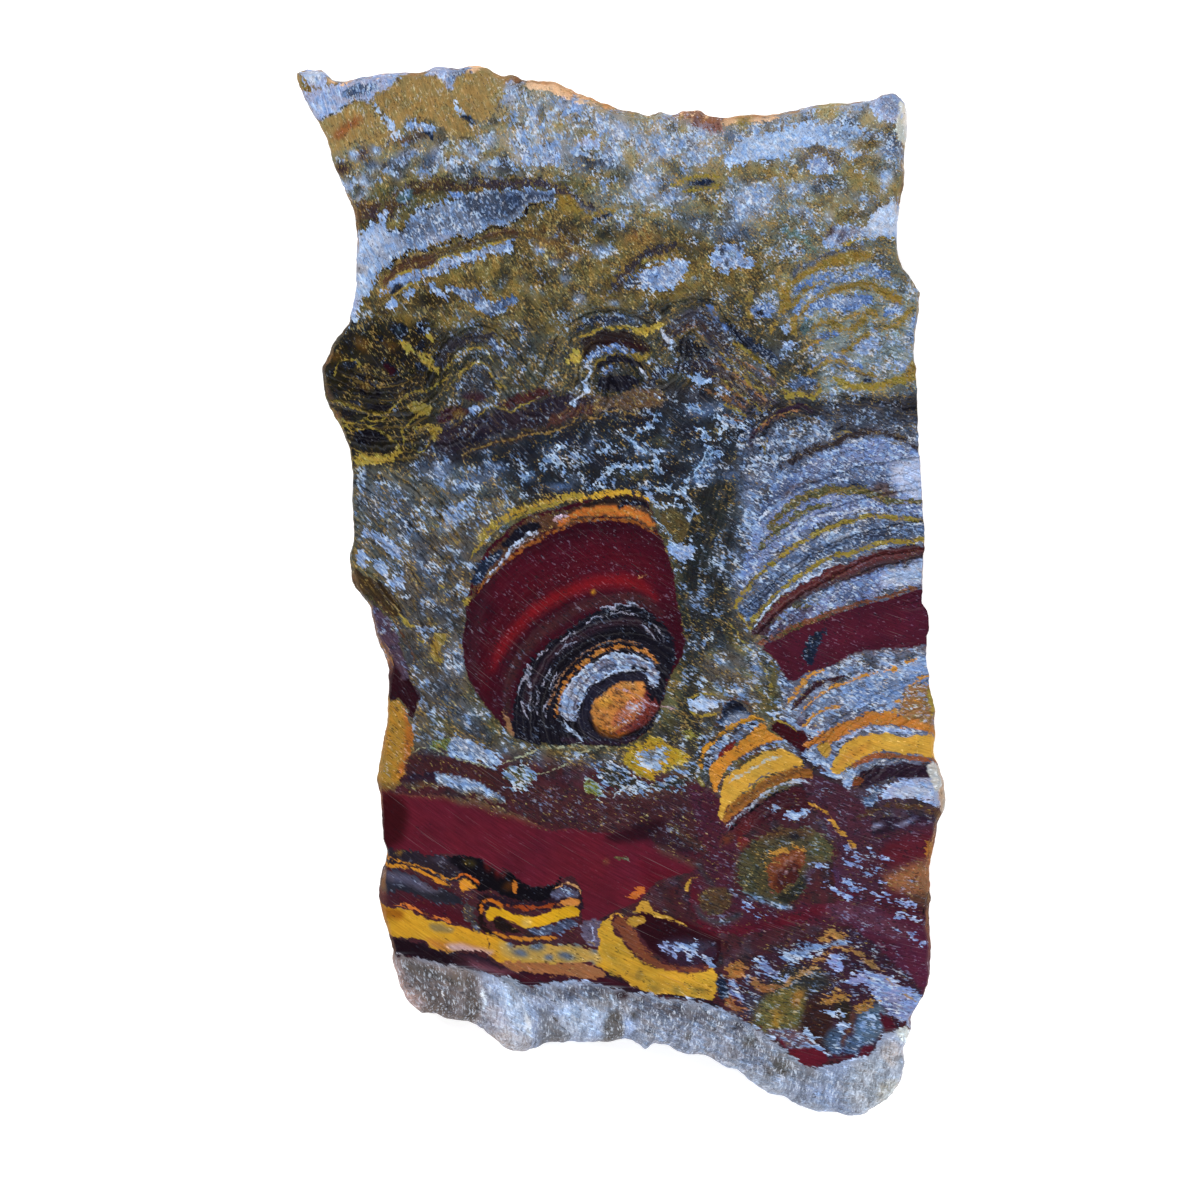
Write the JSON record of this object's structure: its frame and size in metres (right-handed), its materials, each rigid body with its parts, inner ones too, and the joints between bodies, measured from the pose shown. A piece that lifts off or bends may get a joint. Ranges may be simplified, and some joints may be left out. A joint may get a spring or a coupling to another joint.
{
  "type": "stromatolite slab",
  "caption": "Flat sawn slab of banded stromatolite: domed and columnar laminae on flat cut faces, broken edges all round and a quartz rind along its foot.",
  "frame": {"origin": "under the middle of the slab's outline, on the surface that its back face rests on", "axes": "+Y along the slab's length, from the quartz rind to the youngest beds; +X to the right as the front face is read; +Z the front face's outward normal"},
  "size_m": [0.1065, 0.172, 0.008],
  "materials": {
    "banded_stone": "sawn, semi-matt, with fine curved saw marks; broken edges rough, quartz rind translucent"
  },
  "bodies": {
    "root": {"slab": "banded_stone"}
  },
  "joints": []
}
